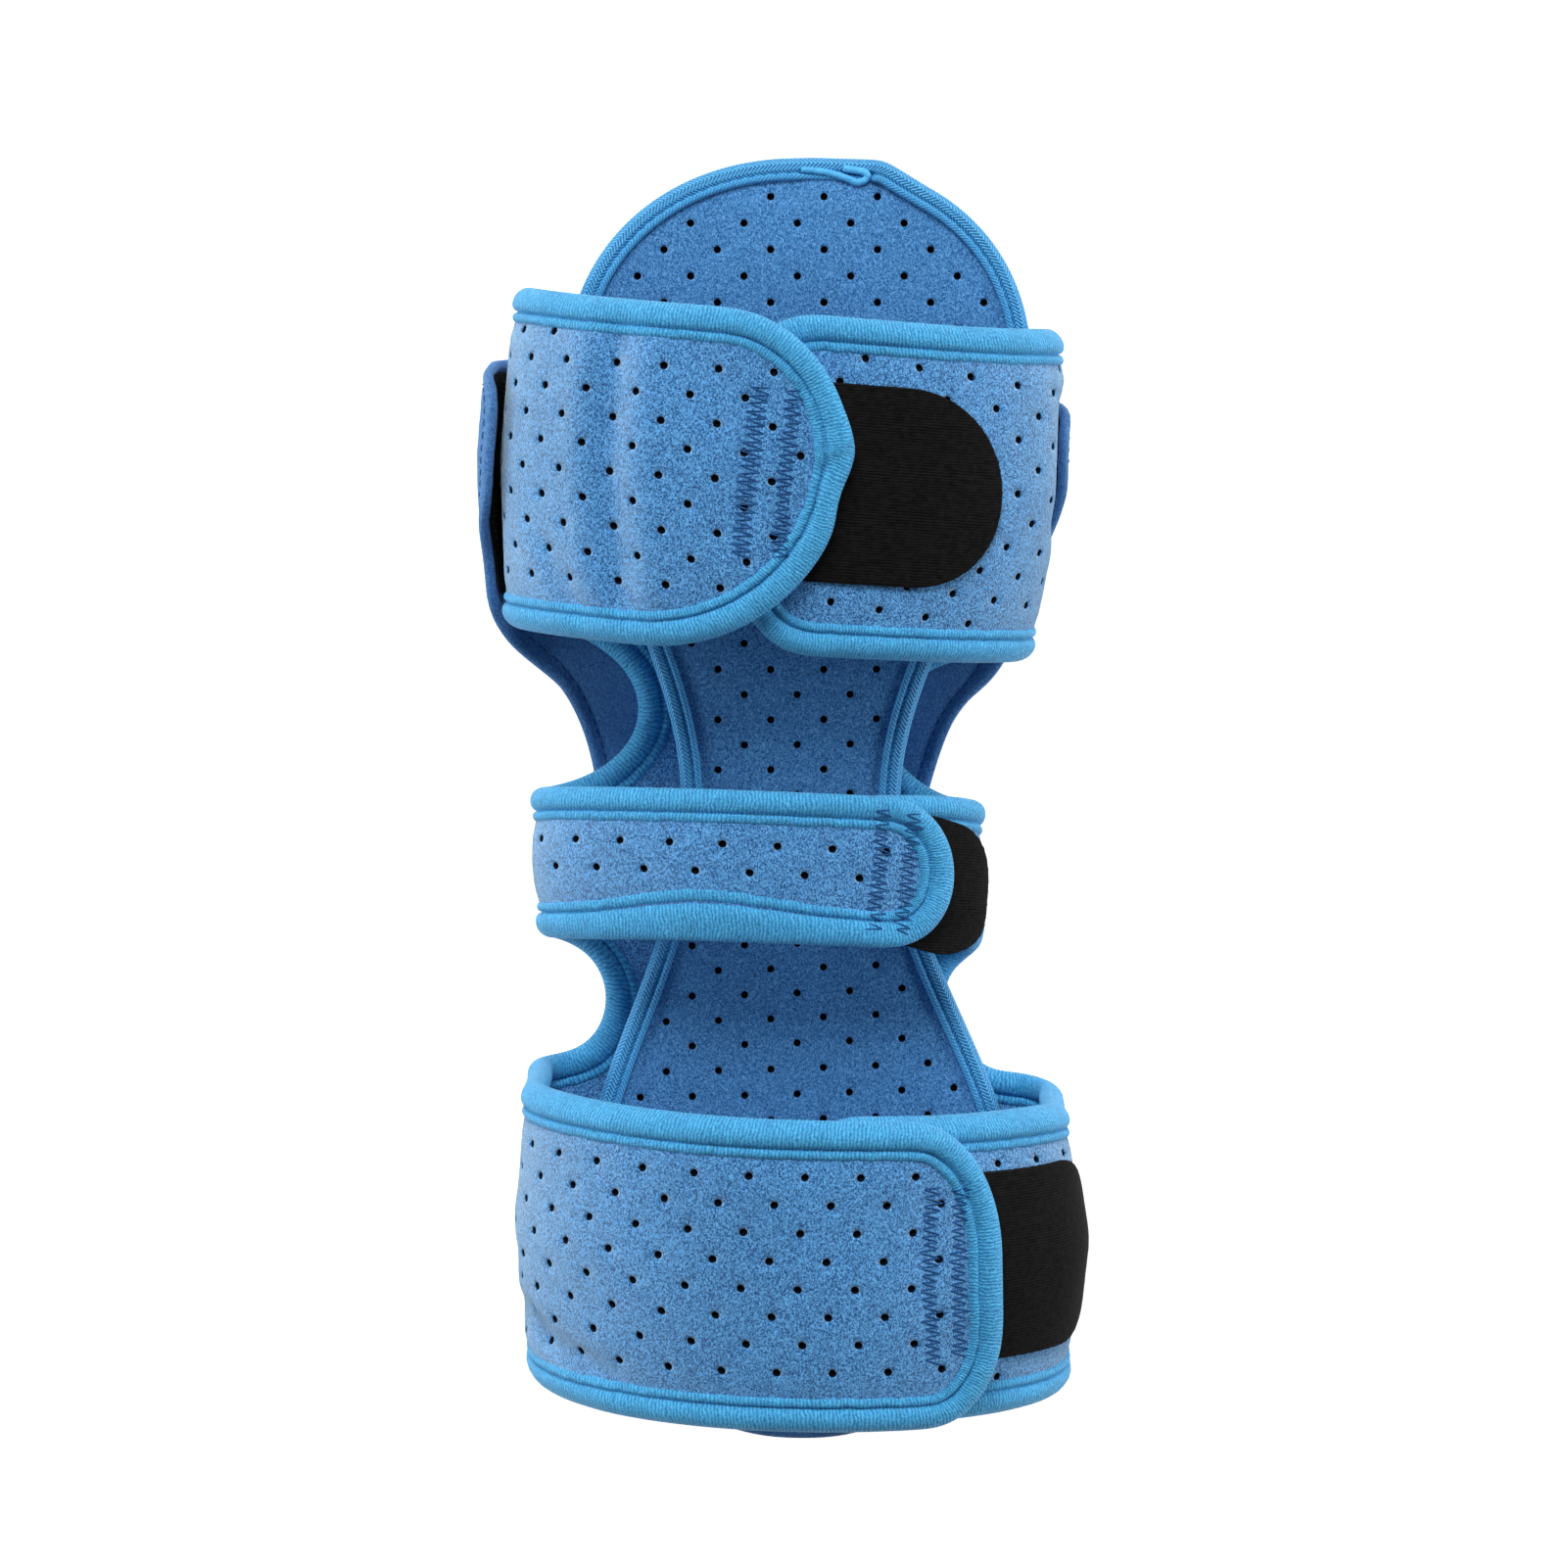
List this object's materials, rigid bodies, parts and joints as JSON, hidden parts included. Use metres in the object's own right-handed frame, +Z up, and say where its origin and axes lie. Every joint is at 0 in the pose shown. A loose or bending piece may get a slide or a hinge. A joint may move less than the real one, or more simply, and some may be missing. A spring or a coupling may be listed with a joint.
{
  "type": "night splint",
  "caption": "Padded splint lying on its back: an hourglass board in a perforated cloth wrap with lapped hook-and-loop straps, side cut-outs and a winged back cover.",
  "frame": {"origin": "on the floor under the middle of the splint's box, where the back cover lies", "axes": "+X to the right across the splint as seen from the front, +Y along it to the rounded upper end, +Z up from the floor to the strap fronts"},
  "size_m": [0.1602, 0.3458, 0.0998],
  "materials": {
    "strap_velour": "brushed loop velour, perforated, mid blue",
    "board_velour": "brushed loop velour, perforated, mid blue",
    "rib_binding": "soft ribbed binding, light blue",
    "woven_tape": "woven twill tape, blue",
    "cover_velour": "brushed velour, dark blue",
    "hook_tape": "matte hook tape, black"
  },
  "bodies": {
    "root": {"splint_board": "board_velour", "board_tape": "woven_tape", "wrap_panel": "strap_velour", "wrap_binding": "rib_binding", "hook_tab_top": "hook_tape", "hook_tab_middle": "hook_tape", "hook_tab_bottom": "hook_tape", "back_cover": "cover_velour", "cover_hook_left": "hook_tape", "cover_hook_right": "hook_tape"}
  },
  "joints": []
}
